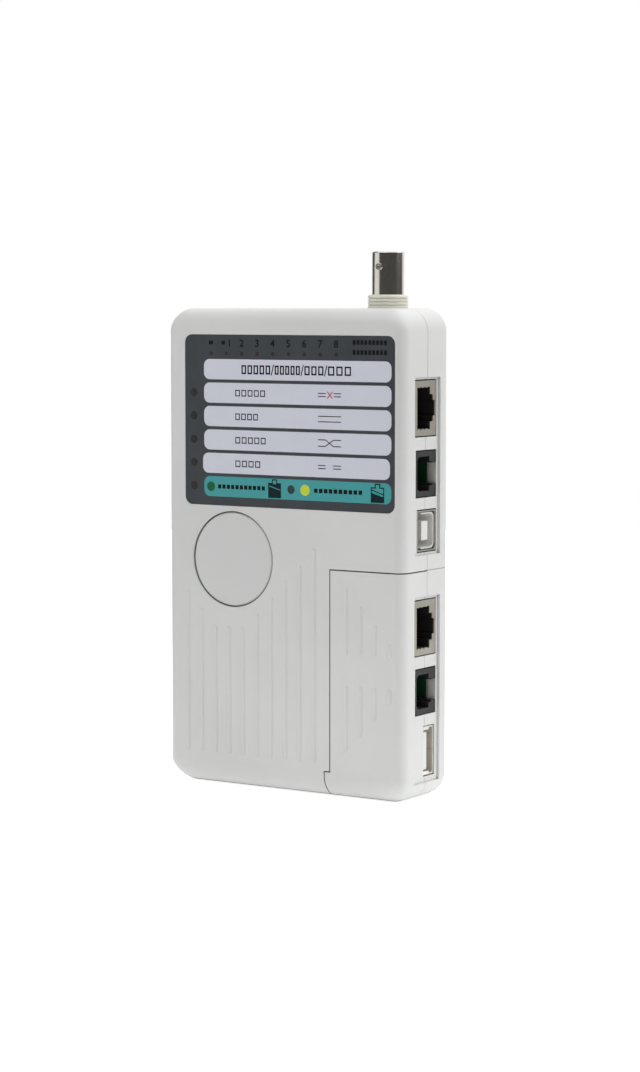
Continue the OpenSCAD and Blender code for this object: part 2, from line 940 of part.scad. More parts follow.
// the opening of the telephone jack, with its latch slot open to the board side
module rj11_outline() {
    polygon([
        [-10.65, -4.25], [-9.6, -5.1], [-3.8, -5.1], [-3.8, -3.6], [-2.4, -3.6], [-2.4, -3.1],
        [0.1, -3.1], [0.1, 3.1], [-2.4, 3.1], [-2.4, 3.6], [-3.8, 3.6], [-3.8, 5.1],
        [-9.6, 5.1], [-10.65, 4.25]
    ]);
}

module rj11_housing() {
    d = rj11_size[0];
    h = rj11_size[1];
    w = rj11_size[2];
    color("dimgray") difference() {
        block([-d, -h, -w / 2], [0, 0, w / 2]);
        along_x(-11, 1) rj11_outline();
    }
}

module rj11_contacts() color("gold") spring_contacts(6, 1.02, 1.2, 11, 3.6, -10.65);

// the square port's opening, drawn in by t, with two rounded corners on the board side
module usb_b_outline(t, r) {
    h = usb_b_size[1];
    w = usb_b_size[2] / 2;
    rounded_rect([-h / 2 - 2 * r, -w + t], [-t, w - t], r);
    translate([-h + t, -w + t]) square([h / 2, 2 * (w - t)]);
}

module usb_b_shell() {
    d = usb_b_size[0];
    h = usb_b_size[1];
    w = usb_b_size[2];
    color("silver") at_port(usb_b_z) difference() {
        block([-d, -h, -w / 2], [0, 0, w / 2]);
        along_x(-d - 1, 1) usb_b_outline(usb_shell_t, 1);
    }
}

// the plug's tongue on its base, inside a lining that is open to the front
module usb_b_insert() {
    d = usb_b_size[0];
    h = usb_b_size[1];
    color("white") at_port(usb_b_z) difference() {
        union() {
            along_x(-d, -d + 4) usb_b_outline(usb_shell_t + 0.02, 1);
            block([-d + 1, usb_b_tongue[0], -2.8], [-0.5, usb_b_tongue[1], 2.8]);
            along_x(-d + 3, -0.35) difference() {
                usb_b_outline(0.65, 1.8);
                usb_b_outline(1.05, 1.4);
                translate([-h, -10]) square([2.6, 20]);
            }
        }
        usb_b_strips();
    }
}

module usb_contact_set(y, pitch, depth, t) {
    for (s = [-1, 1])
        block([-depth, y, s * pitch - 0.5], [-2.4, y + t, s * pitch + 0.5]);
}

module usb_b_strips() {
    usb_contact_set(usb_b_tongue[0], 1.25, 13.8, 0.3);
    usb_contact_set(usb_b_tongue[1] - 0.3, 1.25, 13.8, 0.3);
}

module usb_b_contacts() color("gold") at_port(usb_b_z) usb_b_strips();

module at_usb_a() at_port(usb_a_z) translate([-usb_a_recess, -usb_a_foot, 0]) children();

// the flat port's folded shell, on two feet
module usb_a_shell() {
    d = usb_a_size[0];
    h = usb_a_size[1];
    w = usb_a_size[2];
    t = usb_shell_t;
    color("darkkhaki") at_usb_a() {
        difference() {
            block([-d, -h, -w / 2], [0, 0, w / 2]);
            along_x(-d - 1, 1) rounded_rect([-h + t, -w / 2 + t], [-t, w / 2 - t], 0.6);
            // seam of the folded sheet, and the springs cut in it
            block([-BIG, -t - EPS, -0.06], [BIG, 1, 0.06]);
            for (s = [-1, 1]) block([-9, -t - EPS, s * 3.4 - 1], [-5.5, 1, s * 3.4 + 1]);
        }
        for (s = [-1, 1]) {
            z = s * (w / 2 - t - 0.3);
            // end of the sheet folded back beside the tongue
            block([-4, -h + t / 2, z - 0.35], [0, -h / 2 + 0.6, z + 0.35]);
            block([-8.5, -0.5, s * (w - t) / 2 - t / 2], [-6.5, usb_a_foot, s * (w - t) / 2 + t / 2]);
        }
    }
}

module usb_a_insert() {
    d = usb_a_size[0];
    h = usb_a_size[1];
    w = usb_a_size[2];
    t = usb_shell_t + 0.03;
    color("white") at_usb_a() difference() {
        union() {
            along_x(-d, -d + 3.2) rounded_rect([-h + t, -w / 2 + t], [-t, w / 2 - t], 0.6);
            block([-d + 1, usb_a_tongue[0], -5.55], [-0.1, usb_a_tongue[1], 5.55]);
        }
        usb_a_pins();
    }
}

module usb_a_pins() {
    y = usb_a_tongue[1];
    for (z = [-3.5, -1, 1, 3.5]) block([-11.6, y - 0.3, z - 0.5], [-1.3, y, z + 0.5]);
}

module usb_a_contacts() color("gold") at_usb_a() usb_a_pins();

module main_rj45_shield() at_port(main_rj45_z) rj45_shield();
module main_rj45_insert() at_port(main_rj45_z) rj45_insert();
module main_rj45_contacts() at_port(main_rj45_z) rj45_contacts();
module main_rj11_housing() at_port(main_rj11_z) rj11_housing();
module main_rj11_contacts() at_port(main_rj11_z) rj11_contacts();
module remote_rj45_shield() at_port(remote_rj45_z) rj45_shield();
module remote_rj45_insert() at_port(remote_rj45_z) rj45_insert();
module remote_rj45_contacts() at_port(remote_rj45_z) rj45_contacts();
module remote_rj11_housing() at_port(remote_rj11_z) rj11_housing();
module remote_rj11_contacts() at_port(remote_rj11_z) rj11_contacts();

// ---------------------------------------------------------------- coaxial connector

module at_coax() translate([coax_x, coax_y, 0]) children();

module coax_housing() {
    thread_top = body_h + collar_h - 1.1;
    color("beige") at_coax() difference() {
        union() {
            block(
                [-coax_block[0] / 2, -coax_block[1] / 2, inner_top_z - 0.2 - coax_block[2]],
                [coax_block[0] / 2, board_y - coax_y, inner_top_z - 0.2]
            );
            translate([0, 0, inner_top_z - 1])
                cylinder(r = collar_r, h = body_h + collar_h - collar_chamfer - inner_top_z + 1);
            translate([0, 0, body_h + collar_h - collar_chamfer])
                cylinder(r1 = collar_r, r2 = collar_r - collar_chamfer, h = collar_chamfer);
        }
        // thread grooves round the collar
        for (i = [0:thread_count - 1]) translate([0, 0, thread_top - i * thread_pitch])
            rotate_extrude() polygon([
                [collar_r + 1, 0.35 + thread_depth], [collar_r - thread_depth, 0],
                [collar_r + 1, -0.35 - thread_depth]
            ]);
        translate([0, 0, coax_floor_z - 5]) cylinder(r = coax_barrel_r + 0.03, h = BIG);
        translate([0, 0, inner_top_z - 12]) cylinder(r = dielectric_r, h = BIG);
    }
}

module coax_barrel() {
    color("silver") at_coax() difference() {
        union() {
            translate([0, 0, coax_floor_z - 5])
                cylinder(r = coax_barrel_r, h = coax_rim_z - coax_floor_z + 5 - 0.3);
            translate([0, 0, coax_rim_z - 0.3])
                cylinder(r1 = coax_barrel_r, r2 = coax_barrel_r - 0.25, h = 0.3);
            translate([0, 0, coax_rim_z - lug_drop]) rod_y(lug_r, -lug_reach, lug_reach);
        }
        translate([0, 0, coax_floor_z]) cylinder(r = coax_inner_r, h = BIG);
        cylinder(r = dielectric_r, h = BIG);
        // dimples in the ends of the lugs
        translate([0, 0, coax_rim_z - lug_drop]) {
            rod_y(lug_dimple_r, -lug_reach - 1, -lug_reach + 0.6);
            rod_y(lug_dimple_r, lug_reach - 0.6, lug_reach + 1);
        }
    }
}

module coax_insulator() {
    color("white") at_coax() difference() {
        translate([0, 0, inner_top_z - 11])
            cylinder(r = dielectric_r - 0.02, h = coax_rim_z - 4.8 - inner_top_z + 11);
        cylinder(r = contact_r + 0.02, h = BIG);
    }
}

module coax_contact() {
    top = coax_rim_z - 5.2;
    color("gold") at_coax() difference() {
        translate([0, 0, inner_top_z - 10]) cylinder(r = contact_r, h = top - inner_top_z + 10);
        translate([0, 0, top - 5]) cylinder(r = contact_bore_r, h = BIG);
        for (a = [0, 90]) rotate([0, 0, a]) block([-2, -0.12, top - 3], [2, 0.12, BIG]);
    }
}

// solder legs through the board
module coax_pins() {
    z = inner_top_z - 0.2 - coax_block[2];
    color("silver") at_coax() for (x = [-2.54, 0, 2.54])
        block([x - 0.4, board_back_y - coax_y, z + 2], [x + 0.4, board_back_y + 1.2 - coax_y, z + 2.8]);
}

// ---------------------------------------------------------------- battery

module battery() {
    color("slategray") translate([bay_x, battery_y, battery_z]) linear_extrude(battery_h)
        rounded_rect([-battery_w / 2, -battery_t / 2], [battery_w / 2, battery_t / 2], 2.2);
}

module battery_posts() {
    color("silver") translate([bay_x, battery_y, battery_top_z]) {
        translate([-post_dx, 0, 0]) cylinder(r = post_r, h = post_h);
        translate([post_dx, 0, 0]) difference() {
            cylinder(r = post_r + 0.9, h = post_h, $fn = 6);
            translate([0, 0, 0.6]) cylinder(r = post_r, h = post_h);
        }
    }
}

// snap clip that lies over the battery's terminals
module battery_clip() {
    z = battery_top_z + post_h + 0.2;
    color("black") translate([bay_x, battery_y, z]) linear_extrude(2.4)
        rounded_rect([-12.5, -6.2], [12.5, 6.2], 2);
}

module clip_contacts() {
    z = battery_top_z + post_h;
    color("silver") translate([bay_x, battery_y, z]) for (s = [-1, 1])
        translate([s * post_dx, 0, 0]) cylinder(r = 3.6, h = 0.2);
}

// a lead: an eight-sided tube along a list of points
function unit(v) = v / norm(v);
function tangent(p, i) = unit(p[min(i + 1, len(p) - 1)] - p[max(i - 1, 0)]);
function lead_ring(p, i) = let (t = tangent(p, i), a = unit(cross(t, [0.3, 1, 0.2])), b = cross(t, a))
    [for (k = [0:lead_sides - 1]) p[i] + lead_r * (a * cos(k * 45) + b * sin(k * 45))];

module lead(p) {
    n = len(p);
    polyhedron(
        points = [for (i = [0:n - 1], q = lead_ring(p, i)) q],
        faces = concat(
            [[for (k = [lead_sides - 1:-1:0]) k]],
            [for (i = [0:n - 2], k = [0:lead_sides - 1]) let (m = (k + 1) % lead_sides)
                [i * lead_sides + k, i * lead_sides + m, (i + 1) * lead_sides + k]],
            [for (i = [0:n - 2], k = [0:lead_sides - 1]) let (m = (k + 1) % lead_sides)
                [i * lead_sides + m, (i + 1) * lead_sides + m, (i + 1) * lead_sides + k]],
            [[for (k = [0:lead_sides - 1]) (n - 1) * lead_sides + k]]
        )
    );
}

// a smooth curve through four control points
function bezier(a, b, c, d, steps) = [
    for (i = [0:steps]) let (t = i / steps, s = 1 - t)
        s * s * s * a + 3 * s * s * t * b + 3 * s * t * t * c + t * t * t * d
];

module lead_positive() {
    color("red") lead(bezier(
        [bay_x - 5.6, battery_y + 3, clip_top_z], [bay_x - 5.6, battery_y + 3, clip_top_z + 14],
        [lead_end_x, board_y - 9, 84], [lead_end_x, board_y - 0.1, 84], lead_steps
    ));
}

module lead_negative() {
    color("black") lead(bezier(
        [bay_x - 7.6, battery_y + 3, clip_top_z], [bay_x - 7.6, battery_y + 3, clip_top_z + 14],
        [lead_end_x, board_y - 9, 88], [lead_end_x, board_y - 0.1, 88], lead_steps
    ));
}

front_shell();
rear_shell();
battery_door();
test_button();
label_panel();
display_board();
switch_body();
switch_plunger();
pin_leds();
status_leds();
battery_leds();
main_board();
header_socket();
header_plug();
header_pins();
control_chip();
coax_housing();
coax_barrel();
coax_insulator();
coax_contact();
coax_pins();
main_rj45_shield();
main_rj45_insert();
main_rj45_contacts();
main_rj11_housing();
main_rj11_contacts();
usb_b_shell();
usb_b_insert();
usb_b_contacts();
battery();
battery_posts();
battery_clip();
clip_contacts();
lead_positive();
lead_negative();
main_screws();
board_screws();
display_screws();
remote_front_shell();
remote_rear_shell();
remote_board();
remote_rj45_shield();
remote_rj45_insert();
remote_rj45_contacts();
remote_rj11_housing();
remote_rj11_contacts();
usb_a_shell();
usb_a_insert();
usb_a_contacts();
remote_screws();
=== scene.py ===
import json
import math

import bmesh
import bpy
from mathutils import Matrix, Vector


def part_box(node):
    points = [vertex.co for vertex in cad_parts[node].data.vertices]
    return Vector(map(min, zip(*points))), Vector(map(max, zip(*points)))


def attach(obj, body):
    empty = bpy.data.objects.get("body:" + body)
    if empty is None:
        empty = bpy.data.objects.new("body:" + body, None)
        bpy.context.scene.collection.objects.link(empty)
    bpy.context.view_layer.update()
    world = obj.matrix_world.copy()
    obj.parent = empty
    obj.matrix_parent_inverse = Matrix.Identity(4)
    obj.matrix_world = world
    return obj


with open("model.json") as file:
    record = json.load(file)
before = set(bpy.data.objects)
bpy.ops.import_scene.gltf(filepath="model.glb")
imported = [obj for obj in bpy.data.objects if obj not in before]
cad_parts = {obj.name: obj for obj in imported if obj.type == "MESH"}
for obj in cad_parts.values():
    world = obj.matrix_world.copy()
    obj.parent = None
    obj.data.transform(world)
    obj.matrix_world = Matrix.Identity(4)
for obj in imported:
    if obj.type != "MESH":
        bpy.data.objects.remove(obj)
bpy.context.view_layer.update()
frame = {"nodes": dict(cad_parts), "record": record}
nodes = frame["nodes"]
scene = bpy.context.scene
MM = 0.001


# ------------------------------------------------------------------ materials


class Finish:
    """A node material around one Principled shader, with short calls to add and link nodes."""

    def __init__(self, name):
        self.material = bpy.data.materials.new(name)
        self.material.use_nodes = True
        self.tree = self.material.node_tree
        self.tree.nodes.clear()
        out = self.add("ShaderNodeOutputMaterial")
        self.shader = self.add("ShaderNodeBsdfPrincipled")
        self.tree.links.new(self.shader.outputs["BSDF"], out.inputs["Surface"])
        self.place = self.add("ShaderNodeTexCoord").outputs["Object"]

    def add(self, kind, **settings):
        node = self.tree.nodes.new(kind)
        for key, value in settings.items():
            setattr(node, key, value)
        return node

    def feed(self, socket, value):
        """Links an output to a socket, or sets a plain value on it."""
        if isinstance(value, bpy.types.NodeSocket):
            self.tree.links.new(value, socket)
        else:
            socket.default_value = value

    def stretched(self, scale):
        node = self.add("ShaderNodeMapping")
        self.feed(node.inputs["Vector"], self.place)
        node.inputs["Scale"].default_value = scale
        return node.outputs["Vector"]

    def noise(self, scale, detail=2.0, rough=0.5, vector=None, seed=0.0):
        node = self.add("ShaderNodeTexNoise", noise_dimensions="4D")
        self.feed(node.inputs["Vector"], vector or self.place)
        node.inputs["W"].default_value = seed
        node.inputs["Scale"].default_value = scale
        node.inputs["Detail"].default_value = detail
        node.inputs["Roughness"].default_value = rough
        return node.outputs["Fac"]

    def cells(self, scale):
        node = self.add("ShaderNodeTexVoronoi")
        self.feed(node.inputs["Vector"], self.place)
        node.inputs["Scale"].default_value = scale
        return node.outputs["Distance"]

    def spread(self, value, low, high, out_low=0.0, out_high=1.0):
        node = self.add("ShaderNodeMapRange", interpolation_type="SMOOTHSTEP")
        self.feed(node.inputs["Value"], value)
        node.inputs["From Min"].default_value = low
        node.inputs["From Max"].default_value = high
        node.inputs["To Min"].default_value = out_low
        node.inputs["To Max"].default_value = out_high
        return node.outputs["Result"]

    def math(self, operation, a, b=0.0):
        node = self.add("ShaderNodeMath", operation=operation)
        self.feed(node.inputs[0], a)
        self.feed(node.inputs[1], b)
        return node.outputs["Value"]

    def mix(self, factor, a, b):
        node = self.add("ShaderNodeMix", data_type="RGBA")
        self.feed(node.inputs[0], factor)
        self.feed(node.inputs[6], (*a, 1.0) if isinstance(a, tuple) else a)
        self.feed(node.inputs[7], (*b, 1.0) if isinstance(b, tuple) else b)
        return node.outputs[2]

    def soft_normal(self, radius):
        """The surface's normal, rounded over its edges by this radius."""
        node = self.add("ShaderNodeBevel", samples=6)
        node.inputs["Radius"].default_value = radius
        return node.outputs["Normal"]

    def edge_mask(self, radius):
        """Near 1 along sharp edges, 0 on open faces."""
        geometry = self.add("ShaderNodeNewGeometry")
        dot = self.add("ShaderNodeVectorMath", operation="DOT_PRODUCT")
        self.feed(dot.inputs[0], self.soft_normal(radius))
        self.feed(dot.inputs[1], geometry.outputs["Normal"])
        return self.spread(dot.outputs["Value"], 0.98, 0.80)

    def crevices(self, distance, start=0.75, full=0.2):
        """0 on open faces, near 1 down in gaps and seams, where the finishes paint shade."""
        node = self.add("ShaderNodeAmbientOcclusion", samples=8)
        node.inputs["Distance"].default_value = distance
        return self.spread(node.outputs["AO"], start, full)

    def facing(self, axis):
        """Near 1 on faces whose normal lies along one of the object's axes, forwards."""
        axes = self.add("ShaderNodeSeparateXYZ")
        self.feed(axes.inputs[0], self.add("ShaderNodeNewGeometry").outputs["True Normal"])
        return self.spread(axes.outputs[axis], 0.8, 0.9)

    def bump(self, height, strength, distance, normal=None):
        node = self.add("ShaderNodeBump")
        node.inputs["Strength"].default_value = strength
        node.inputs["Distance"].default_value = distance
        self.feed(node.inputs["Height"], height)
        if normal is not None:
            self.feed(node.inputs["Normal"], normal)
        return node.outputs["Normal"]

    def set(self, **values):
        for key, value in values.items():
            socket = self.shader.inputs[key.replace("_", " ")]
            if isinstance(value, tuple) and socket.type == "RGBA":
                value = (*value, 1.0)
            self.feed(socket, value)
        return self


def tone(colour, factor):
    return tuple(min(1.0, c * factor) for c in colour)


def moulded(name, colour, rough=0.5, grain=1400.0, depth=0.02, edge=0.12, crevice_shade=0.0, seed=0.0):
    """Injection-moulded plastic: spark-eroded grain, faint flow marks, rubbed edges lightened by a painted
    highlight, and painted shade in gaps and seams.
    """
    f = Finish(name)
    flow = f.noise(22.0, 3.0, 0.55, seed=seed)
    speck = f.noise(grain * 0.35, 2.0, 0.6, seed=seed + 3.0)
    base = f.mix(f.spread(flow, 0.3, 0.7), tone(colour, 0.965), tone(colour, 1.025))
    base = f.mix(f.spread(speck, 0.55, 0.75, 0.0, 0.10), base, tone(colour, 0.86))
    patches = f.spread(f.noise(160.0, 3.0, seed=seed + 5.0), 0.4, 0.65)
    rubbed = f.math("MULTIPLY", f.edge_mask(0.45 * MM), patches)
    # painted highlight: rubbed edges lightened as far as edge asks; the rubbed mask also lowers their
    # roughness, as real wear
    base = f.mix(f.math("MULTIPLY", rubbed, edge), base, tone(colour, 1.18))
    # painted shade: gaps and seams darkened by ambient occlusion, as far as the crevice figure asks
    if crevice_shade:
        base = f.mix(f.math("MULTIPLY", f.crevices(1.2 * MM), crevice_shade), base, tone(colour, 0.22))
    scuff = f.noise(70.0, 4.0, 0.6, seed=seed + 7.0)
    roughness = f.math(
        "SUBTRACT", f.spread(scuff, 0.3, 0.75, rough - 0.06, rough + 0.08), f.math("MULTIPLY", rubbed, 0.12)
    )
    fine = f.noise(grain, 3.0, 0.6, seed=seed + 1.0)
    pits = f.cells(grain * 1.6)
    height = f.math("ADD", f.math("MULTIPLY", fine, 0.7), f.math("MULTIPLY", pits, 0.3))
    normal = f.bump(height, 0.35, depth * MM, f.soft_normal(0.22 * MM))
    return f.set(Base_Color=base, Roughness=roughness, Normal=normal, IOR=1.46).material


def metal(name, colour, rough=0.28, streak=(260.0, 260.0, 2600.0), tarnish=0.25, seed=0.0):
    """Plated metal: fine drawing lines, cloudy plating and painted shade in its corners."""
    f = Finish(name)
    cloud = f.noise(110.0, 3.0, 0.55, seed=seed)
    base = f.mix(f.spread(cloud, 0.35, 0.7, 0.0, tarnish), colour, tone(colour, 0.72))
    # painted shade: corners and gaps darkened by ambient occlusion
    base = f.mix(f.math("MULTIPLY", f.crevices(0.5 * MM), 0.35), base, tone(colour, 0.25))
    lines = f.noise(1.0, 3.0, 0.6, f.stretched(streak), seed + 2.0)
    drawn = f.spread(lines, 0.3, 0.7, rough - 0.02, rough + 0.03)
    roughness = f.math("ADD", drawn, f.spread(cloud, 0.4, 0.8, 0.0, 0.05))
    normal = f.bump(lines, 0.15, 0.0004 * MM, f.soft_normal(0.1 * MM))
    return f.set(Base_Color=base, Metallic=1.0, Roughness=roughness, Normal=normal).material


def printed(name, colour, rough=0.42, mottle=0.04, seed=0.0, sheen=0.5):
    """Screen-printed ink on a textured film."""
    f = Finish(name)
    cloud = f.noise(90.0, 3.0, 0.6, seed=seed)
    base = f.mix(f.spread(cloud, 0.3, 0.7), tone(colour, 1.0 - mottle), tone(colour, 1.0 + mottle))
    velvet = f.noise(3200.0, 2.0, 0.5, seed=seed + 1.0)
    roughness = f.spread(f.noise(55.0, 3.0, seed=seed + 4.0), 0.3, 0.7, rough - 0.05, rough + 0.07)
    normal = f.bump(velvet, 0.25, 0.01 * MM)
    return f.set(
        Base_Color=base, Roughness=roughness, Normal=normal, IOR=1.45, Specular_IOR_Level=sheen
    ).material


def lens(name, colour, seed=0.0):
    """Coloured, slightly cloudy resin of a lamp under a clear coat."""
    f = Finish(name)
    cloud = f.noise(700.0, 2.0, seed=seed)
    base = f.mix(f.spread(cloud, 0.35, 0.7), tone(colour, 0.85), tone(colour, 1.15))
    normal = f.bump(f.noise(1500.0, 2.0, seed=seed + 2.0), 0.1, 0.01 * MM)
    f.set(Base_Color=base, Roughness=f.spread(cloud, 0.3, 0.7, 0.12, 0.25), Normal=normal, IOR=1.5)
    return f.set(Coat_Weight=0.4, Coat_Roughness=0.08).material


def circuit_board():
    """Green solder mask over glass cloth, with copper tracks showing through."""
    f = Finish("solder_mask")
    tracks = f.add("ShaderNodeTexBrick", offset=0.37, squash=1.0)
    f.feed(tracks.inputs["Vector"], f.stretched((420.0, 420.0, 420.0)))
    tracks.inputs["Mortar Size"].default_value = 0.09
    cloud = f.noise(60.0, 3.0)
    base = f.mix(f.spread(cloud, 0.3, 0.7), (0.005, 0.050, 0.024), (0.008, 0.068, 0.032))
    base = f.mix(f.math("MULTIPLY", tracks.outputs["Fac"], 0.25), base, (0.014, 0.105, 0.048))
    # the sawn edges show the bare glass cloth
    base = f.mix(f.facing("X"), base, (0.52, 0.52, 0.42))
    weave = f.add("ShaderNodeTexWave", wave_type="BANDS", bands_direction="DIAGONAL")
    f.feed(weave.inputs["Vector"], f.stretched((900.0, 900.0, 900.0)))
    height = f.math("ADD", f.math("MULTIPLY", weave.outputs["Fac"], 0.3), tracks.outputs["Fac"])
    roughness = f.spread(cloud, 0.3, 0.8, 0.26, 0.42)
    normal = f.bump(height, 0.2, 0.01 * MM)
    return f.set(Base_Color=base, Roughness=roughness, Normal=normal, IOR=1.5).material


def battery_jacket(low, high):
    """Painted steel jacket: a dark field with a paler band round the top third, rubbed at the corners."""
    f = Finish("battery_paint")
    axes = f.add("ShaderNodeSeparateXYZ")
    f.feed(axes.inputs[0], f.place)
    band_z = low + (high - low) * 0.68
    band = f.math("GREATER_THAN", axes.outputs["Z"], band_z)
    cloud = f.noise(45.0, 3.0)
    base = f.mix(band, (0.035, 0.045, 0.075), (0.50, 0.40, 0.24))
    base = f.mix(f.spread(cloud, 0.3, 0.75, 0.0, 0.12), base, (0.15, 0.15, 0.16))
    rubbed = f.math("MULTIPLY", f.edge_mask(0.5 * MM), f.spread(f.noise(220.0, 3.0), 0.4, 0.6))
    base = f.mix(rubbed, base, (0.55, 0.55, 0.54))
    normal = f.bump(f.noise(900.0, 2.0), 0.2, 0.01 * MM, f.soft_normal(0.4 * MM))
    return f.set(
        Base_Color=base, Roughness=f.spread(cloud, 0.3, 0.7, 0.30, 0.44), Normal=normal, Metallic=0.35
    ).material


HOUSING = (0.775, 0.782, 0.770)
CREAM = (0.86, 0.84, 0.74)
# how finely the rolling lines of the sheet-metal shields repeat along each axis
SHEET_LINES = (240.0, 240.0, 2600.0)
# in the moulded finishes, the figure after depth sets the painted highlight on rubbed edges, and the one
# after it the painted shade in gaps and seams
materials = {
    "housing": moulded("housing_plastic", HOUSING, rough=0.47, grain=1500.0, depth=0.02, edge=0.35, crevice_shade=0.7),
    "button": moulded("button_plastic", (0.755, 0.762, 0.752), 0.44, 1700.0, 0.014, 0.35, 0.7, seed=4.0),
    "label": printed("label_film", (0.044, 0.051, 0.058), 0.42, 0.10),
    "board": circuit_board(),
    "black_plastic": moulded("black_insert", (0.018, 0.018, 0.019), 0.42, 1200.0, 0.012, 0.8, seed=9.0),
    "white_plastic": moulded("white_insert", (0.84, 0.84, 0.81), 0.38, 1300.0, 0.01, 0.2, 0.12, seed=11.0),
    # the jack's edges get a strong painted highlight
    "grey_plastic": moulded("grey_jack", (0.020, 0.021, 0.022), 0.45, 1200.0, 0.012, 2.2, seed=13.0),
    "cream_plastic": moulded("cream_connector", CREAM, 0.36, 1300.0, 0.012, 0.3, 0.15, seed=15.0),
    "red_lamp": lens("red_lamp_resin", (0.30, 0.035, 0.03)),
    "green_lamp": lens("green_lamp_resin", (0.05, 0.22, 0.06), seed=3.0),
    "nickel": metal("nickel_plate", (0.66, 0.64, 0.59), 0.17, (9000.0, 9000.0, 300.0), 0.2),
    "tinned_steel": metal("tinned_shield", (0.525, 0.505, 0.44), 0.36, SHEET_LINES, 0.45, seed=5.0),
    "plated_steel": metal("plated_terminal", (0.62, 0.62, 0.60), 0.30, (600.0, 600.0, 3000.0), 0.3, seed=7.0),
    "screw_steel": metal("zinc_screw", (0.56, 0.57, 0.58), 0.33, (1500.0, 300.0, 1500.0), 0.4, seed=8.0),
    "gold_contact": metal("gold_flash", (0.83, 0.62, 0.28), 0.22, (800.0, 2500.0, 800.0), 0.3, seed=10.0),
    "battery_jacket": battery_jacket(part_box("battery")[0].z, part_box("battery")[1].z),
    "red_lead": moulded("red_insulation", (0.42, 0.03, 0.025), 0.38, 900.0, 0.008, 0.1, seed=17.0),
    "black_lead": moulded("black_insulation", (0.02, 0.02, 0.02), 0.36, 900.0, 0.008, 0.1, seed=19.0),
}


# ------------------------------------------------------------------ CAD nodes


def dress(node, material):
    """Gives a CAD node its material and smooth shading over its curves."""
    mesh = node.data
    mesh.materials.clear()
    mesh.materials.append(material)
    for polygon in mesh.polygons:
        polygon.use_smooth = True
    weld = node.modifiers.new("weld", "WELD")
    weld.merge_threshold = 0.002 * MM
    split = node.modifiers.new("split", "EDGE_SPLIT")
    split.split_angle = math.radians(32)
    even = node.modifiers.new("even", "WEIGHTED_NORMAL")
    even.keep_sharp = True


slots = {p["node"]: p["material_slot"] for p in frame["record"]["subparts"]}
# the flat USB shell looks brighter than the other shields, so it is given a paler, rougher metal
OWN_FINISH = {
    "usb_a_shell": metal("bright_shield", (0.93, 0.91, 0.84), 0.48, SHEET_LINES, 0.2, seed=21.0),
}
for name, node in nodes.items():
    dress(node, OWN_FINISH.get(name, materials[slots[name]]))


# ------------------------------------------------------------------ printed label

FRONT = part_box("label_panel")[0].y / MM
INK = 0.012
ROWS = 5
ROW_TOP, ROW_PITCH, ROW_H, ROW_CORNER = 130.1, 7.08, 6.1, 2.0
ROW_LEFT, ROW_RIGHT = -28.4, 38.2


def row_middle(i):
    return ROW_TOP - i * ROW_PITCH - ROW_H / 2


def rounded(x0, x1, z0, z1, r, steps=8):
    """Corner points of a rounded rectangle in the front plane."""
    points = []
    corners = ((x1 - r, z1 - r, 0), (x0 + r, z1 - r, 90), (x0 + r, z0 + r, 180), (x1 - r, z0 + r, 270))
    for cx, cz, start in corners:
        for k in range(steps + 1):
            a = math.radians(start + 90 * k / steps)
            points.append((cx + r * math.cos(a), cz + r * math.sin(a)))
    return points


def box2(x0, x1, z0, z1):
    return [(x1, z1), (x0, z1), (x0, z0), (x1, z0)]


def round2(x, z, r, steps=40):
    turns = [2 * math.pi * k / steps for k in range(steps)]
    return [(x + r * math.cos(a), z + r * math.sin(a)) for a in turns]


def stroke(x0, z0, x1, z1, width):
    """Outline of a straight printed line."""
    length = math.hypot(x1 - x0, z1 - z0)
    dx, dz = -(z1 - z0) / length * width / 2, (x1 - x0) / length * width / 2
    return [(x0 + dx, z0 + dz), (x0 - dx, z0 - dz), (x1 - dx, z1 - dz), (x1 + dx, z1 + dz)]


def piece(name, mesh, body, material):
    """A new piece that moves with a CAD body and wears the finish it is given."""
    made = bpy.data.objects.new(name, mesh)
    scene.collection.objects.link(made)
    mesh.materials.append(material)
    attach(made, body)
    return made


def film(name, outlines, layer, material):
    """Flat printed shapes: closed plates a hair thick, stacked by layer on the label's face."""
    bm = bmesh.new()
    near = (FRONT - layer * INK - INK) * MM
    far = (FRONT - layer * INK) * MM
    for outline in outlines:
        front = [bm.verts.new((x * MM, near, z * MM)) for x, z in outline]
        back = [bm.verts.new((x * MM, far, z * MM)) for x, z in outline]
        n = len(outline)
        bm.faces.new(front)
        bm.faces.new(back[::-1])
        for k in range(n):
            bm.faces.new((front[k], back[k], back[(k + 1) % n], front[(k + 1) % n]))
    bmesh.ops.recalc_face_normals(bm, faces=bm.faces)
    mesh = bpy.data.meshes.new(name)
    bm.to_mesh(mesh)
    bm.free()
    return piece(name, mesh, "main_unit", material)


def dashes(x0, x1, z, height, count):
    """A small word's place, kept as plain blocks with no letters."""
    pitch = (x1 - x0) / (count - 0.28)
    low, high = z - height / 2, z + height / 2
    return [box2(x0 + k * pitch, x0 + (k + 0.72) * pitch, low, high) for k in range(count)]


def frames(x0, x1, z, height, count, line):
    """A large word's place, kept as plain hollow boxes with no letters."""
    pitch = (x1 - x0) / (count - 0.24)
    shapes = []
    for k in range(count):
        left, right = x0 + k * pitch, x0 + (k + 0.76) * pitch
        low, high = z - height / 2, z + height / 2
        shapes += [
            box2(left, right, low, low + line),
            box2(left, right, high - line, high),
            box2(left, left + line, low + line, high - line),
            box2(right - line, right, low + line, high - line),
        ]
    return shapes


